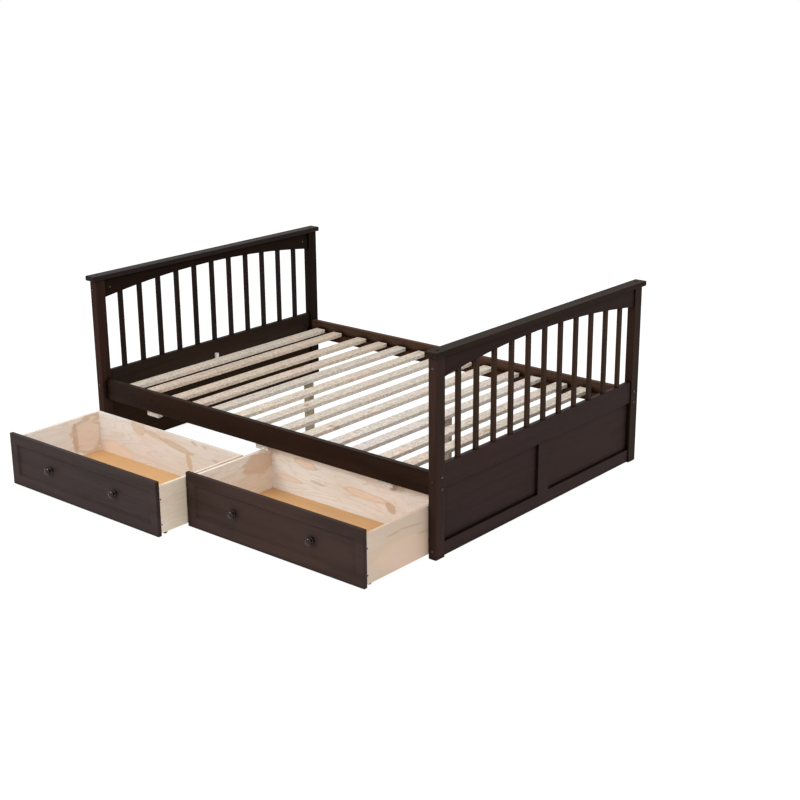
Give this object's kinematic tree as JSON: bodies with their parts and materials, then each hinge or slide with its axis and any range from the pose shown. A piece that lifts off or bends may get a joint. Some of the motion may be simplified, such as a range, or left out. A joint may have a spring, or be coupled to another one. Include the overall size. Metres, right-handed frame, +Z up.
{
  "type": "trundle bed",
  "caption": "Slatted wooden bed with arched spindle headboard and footboard, panelled ends, and rolling box drawers that pull out from under one long side.",
  "frame": {"origin": "floor level, in the middle of the outline that the bed and its open drawers cover", "axes": "+X from the headboard to the footboard, +Y across the bed away from the drawers, +Z up"},
  "size_m": [2.024, 2.018, 0.835],
  "materials": {
    "dark_wood": "semi-gloss espresso lacquer",
    "slat_pine": "bare planed pine",
    "drawer_pine": "clear-coated pine",
    "drawer_base": "smooth thin board",
    "knob": "gloss lacquer",
    "steel": "zinc plated",
    "wheel_plastic": "moulded"
  },
  "bodies": {
    "bed": {"head_post_front": "dark_wood", "head_post_rear": "dark_wood", "head_cap": "dark_wood", "head_arch_rail": "dark_wood", "head_cross_rail": "dark_wood", "head_bottom_rail": "dark_wood", "head_stile": "dark_wood", "head_panels": "dark_wood", "head_spindles": "dark_wood", "foot_post_front": "dark_wood", "foot_post_rear": "dark_wood", "foot_cap": "dark_wood", "foot_arch_rail": "dark_wood", "foot_cross_rail": "dark_wood", "foot_bottom_rail": "dark_wood", "foot_stile": "dark_wood", "foot_panels": "dark_wood", "foot_spindles": "dark_wood", "front_side_rail": "dark_wood", "rear_side_rail": "dark_wood", "slat_cleats": "dark_wood", "slat_01": "slat_pine", "slat_02": "slat_pine", "slat_03": "slat_pine", "slat_04": "slat_pine", "slat_05": "slat_pine", "slat_06": "slat_pine", "slat_07": "slat_pine", "slat_08": "slat_pine", "slat_09": "slat_pine", "slat_10": "slat_pine", "slat_11": "slat_pine", "slat_12": "slat_pine", "slat_13": "slat_pine", "slat_14": "slat_pine", "centre_legs": "slat_pine", "frame_blocks": "slat_pine", "frame_bolts": "steel"},
    "left_drawer": {"left_drawer_front": "dark_wood", "left_drawer_inner_front": "drawer_pine", "left_drawer_side_left": "drawer_pine", "left_drawer_side_right": "drawer_pine", "left_drawer_back": "drawer_pine", "left_drawer_base": "drawer_base", "left_drawer_knobs": "knob", "left_drawer_screws": "steel", "left_drawer_caster_brackets": "steel"},
    "left_drawer_front_wheel_pair": {"left_drawer_front_wheels": "wheel_plastic"},
    "left_drawer_rear_wheel_pair": {"left_drawer_rear_wheels": "wheel_plastic"},
    "right_drawer": {"right_drawer_front": "dark_wood", "right_drawer_inner_front": "drawer_pine", "right_drawer_side_left": "drawer_pine", "right_drawer_side_right": "drawer_pine", "right_drawer_back": "drawer_pine", "right_drawer_base": "drawer_base", "right_drawer_knobs": "knob", "right_drawer_screws": "steel", "right_drawer_caster_brackets": "steel"},
    "right_drawer_front_wheel_pair": {"right_drawer_front_wheels": "wheel_plastic"},
    "right_drawer_rear_wheel_pair": {"right_drawer_rear_wheels": "wheel_plastic"}
  },
  "joints": [
    {"name": "left_drawer_slide", "type": "slide", "parent": "bed", "child": "left_drawer", "axis": [0, -1, 0], "range_m": [-0.56, 0.09]},
    {"name": "left_drawer_front_wheels_roll", "type": "hinge", "parent": "left_drawer", "child": "left_drawer_front_wheel_pair", "pos_m": [-0.472, -0.93, 0.0125], "axis": [1, 0, 0], "continuous": true},
    {"name": "left_drawer_rear_wheels_roll", "type": "hinge", "parent": "left_drawer", "child": "left_drawer_rear_wheel_pair", "pos_m": [-0.472, -0.557, 0.0125], "axis": [1, 0, 0], "continuous": true},
    {"name": "right_drawer_slide", "type": "slide", "parent": "bed", "child": "right_drawer", "axis": [0, -1, 0], "range_m": [-0.403, 0.247]},
    {"name": "right_drawer_front_wheels_roll", "type": "hinge", "parent": "right_drawer", "child": "right_drawer_front_wheel_pair", "pos_m": [0.4835, -0.773, 0.0125], "axis": [1, 0, 0], "continuous": true},
    {"name": "right_drawer_rear_wheels_roll", "type": "hinge", "parent": "right_drawer", "child": "right_drawer_rear_wheel_pair", "pos_m": [0.4835, -0.4, 0.0125], "axis": [1, 0, 0], "continuous": true}
  ],
  "couplings": [
    {"joint": "left_drawer_front_wheels_roll", "follows": "left_drawer_slide", "rad_per_m": 80},
    {"joint": "left_drawer_rear_wheels_roll", "follows": "left_drawer_slide", "rad_per_m": 80},
    {"joint": "right_drawer_front_wheels_roll", "follows": "right_drawer_slide", "rad_per_m": 80},
    {"joint": "right_drawer_rear_wheels_roll", "follows": "right_drawer_slide", "rad_per_m": 80}
  ]
}
